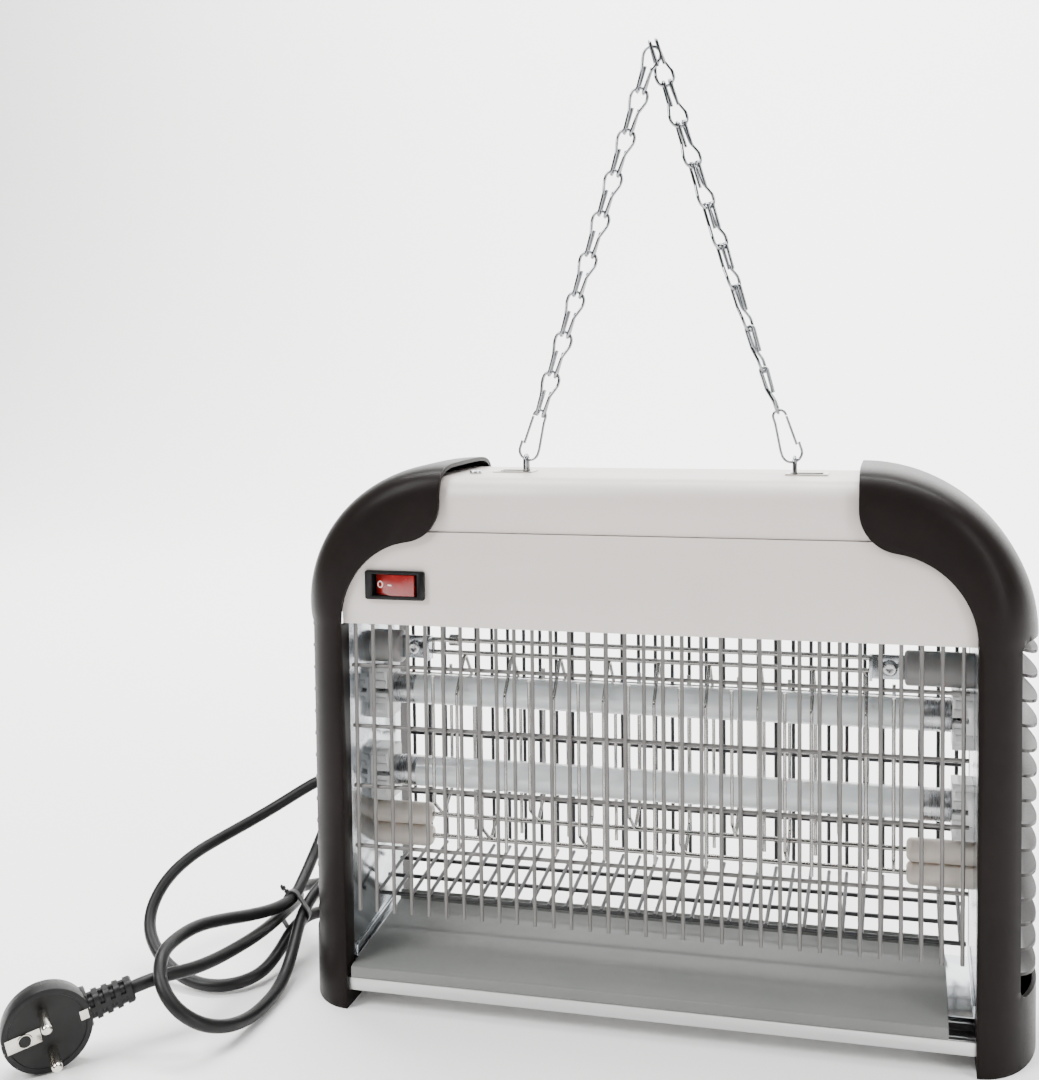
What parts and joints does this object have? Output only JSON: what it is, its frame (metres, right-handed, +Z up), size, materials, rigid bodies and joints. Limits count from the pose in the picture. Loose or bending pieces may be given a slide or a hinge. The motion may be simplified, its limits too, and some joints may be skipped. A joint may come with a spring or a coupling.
{
  "type": "electric bug zapper",
  "caption": "Hanging electric insect killer with two UV tubes and a high-voltage grid between black end caps, wire guards, slide-out tray, chain and mains cord with plug.",
  "frame": {"origin": "on the surface the two feet stand on, under the middle of the body", "axes": "+Z up, +X towards the right end cap seen from the switch side, the switch side faces -Y"},
  "size_m": [0.4736, 0.2455, 0.4897],
  "materials": {
    "black_abs": "satin moulded ABS",
    "painted_sheet": "warm grey satin powder coat on steel sheet",
    "galvanised_sheet": "galvanised sheet",
    "aluminium_rail": "extruded, plain",
    "tray_sheet": "grey satin coat",
    "guard_wire": "light grey coated wire",
    "rear_wire": "dark coated wire",
    "grid_rod": "bright plated steel rod",
    "zinc_wire": "bright zinc plated wire",
    "plated_rim": "nickel plated",
    "screw_steel": "zinc plated",
    "grey_insulator": "frosted grey",
    "pale_insulator": "glazed off-white",
    "clear_holder": "milky translucent",
    "lamp_glass": "white phosphor coated glass",
    "lamp_cap": "plain",
    "black_pvc": "soft black PVC",
    "black_switch": "moulded",
    "red_rocker": "translucent red",
    "brass_contact": "plain",
    "circuit_board": "solder resist",
    "transformer": "potted",
    "choke_steel": "varnished laminations",
    "winding_tape": "yellow tape",
    "capacitor": "blue coat",
    "white_nylon": "white",
    "white_pvc": "white PVC",
    "clip_band": "black tie"
  },
  "bodies": {
    "housing": {"board_capacitors": "capacitor", "board_spacers": "white_nylon", "board_transformer": "transformer", "bottom_rail": "aluminium_rail", "bracket_screws": "screw_steel", "choke_core": "choke_steel", "choke_winding": "winding_tape", "cord_gland": "black_pvc", "cord_tie": "clip_band", "cover_screw": "screw_steel", "eye_plates": "galvanised_sheet", "floor_grille": "rear_wire", "foot_screws": "screw_steel", "front_grille": "guard_wire", "front_panel": "painted_sheet", "grid_brackets": "galvanised_sheet", "hanging_eyes": "zinc_wire", "high_voltage_board": "circuit_board", "inner_deck": "galvanised_sheet", "inner_wiring": "white_pvc", "lamp_starters": "white_nylon", "left_end_cap": "black_abs", "left_lower_lamp_holder": "clear_holder", "left_side_plate": "galvanised_sheet", "left_upper_lamp_holder": "clear_holder", "lower_grid": "grid_rod", "lower_insulators": "pale_insulator", "mains_cord": "black_pvc", "plug_body": "black_pvc", "plug_earth_clips": "plated_rim", "plug_pins": "plated_rim", "plug_strain_relief": "black_pvc", "rear_grille": "rear_wire", "rear_panel": "painted_sheet", "right_end_cap": "black_abs", "right_lower_lamp_holder": "clear_holder", "right_side_plate": "galvanised_sheet", "right_upper_lamp_holder": "clear_holder", "slot_rims": "plated_rim", "switch_bezel": "black_switch", "switch_body": "black_switch", "switch_terminals": "brass_contact", "terminal_block": "white_nylon", "top_cover": "painted_sheet", "tray_runners": "galvanised_sheet", "upper_grid": "grid_rod", "upper_insulators": "grey_insulator"},
    "rocker": {"switch_rocker": "red_rocker"},
    "tray": {"tray": "tray_sheet"},
    "upper_lamp": {"upper_lamp_tube": "lamp_glass", "upper_lamp_ends": "lamp_cap"},
    "lower_lamp": {"lower_lamp_tube": "lamp_glass", "lower_lamp_ends": "lamp_cap"},
    "chain": {"chain_left": "zinc_wire", "chain_right": "zinc_wire", "hanging_link": "zinc_wire", "left_clip": "zinc_wire", "right_clip": "zinc_wire"},
    "left_gate": {"left_clip_gate": "zinc_wire"},
    "right_gate": {"right_clip_gate": "zinc_wire"}
  },
  "joints": [
    {"name": "rocker_tilt", "type": "hinge", "parent": "housing", "child": "rocker", "pos_m": [-0.1254, -0.0404, 0.2183], "axis": [0, 0, 1], "range_deg": [0, 20]},
    {"name": "tray_slide", "type": "slide", "parent": "housing", "child": "tray", "axis": [0, -1, 0], "range_m": [0, 0.1]},
    {"name": "upper_lamp_twist", "type": "hinge", "parent": "housing", "child": "upper_lamp", "pos_m": [0, 0, 0.1556], "axis": [1, 0, 0], "range_deg": [0, 90]},
    {"name": "lower_lamp_twist", "type": "hinge", "parent": "housing", "child": "lower_lamp", "pos_m": [0, 0, 0.1112], "axis": [1, 0, 0], "range_deg": [0, 90]},
    {"name": "chain_swing", "type": "hinge", "parent": "housing", "child": "chain", "pos_m": [0, 0, 0.2786], "axis": [1, 0, 0], "range_deg": [-60, 60]},
    {"name": "left_gate_press", "type": "hinge", "parent": "chain", "child": "left_gate", "pos_m": [-0.06488, 0, 0.30105], "axis": [0, -1, 0], "range_deg": [0, 14], "stiffness_Nm_per_rad": 0.004},
    {"name": "right_gate_press", "type": "hinge", "parent": "chain", "child": "right_gate", "pos_m": [0.06488, 0, 0.30105], "axis": [0, 1, 0], "range_deg": [0, 14], "stiffness_Nm_per_rad": 0.004}
  ]
}
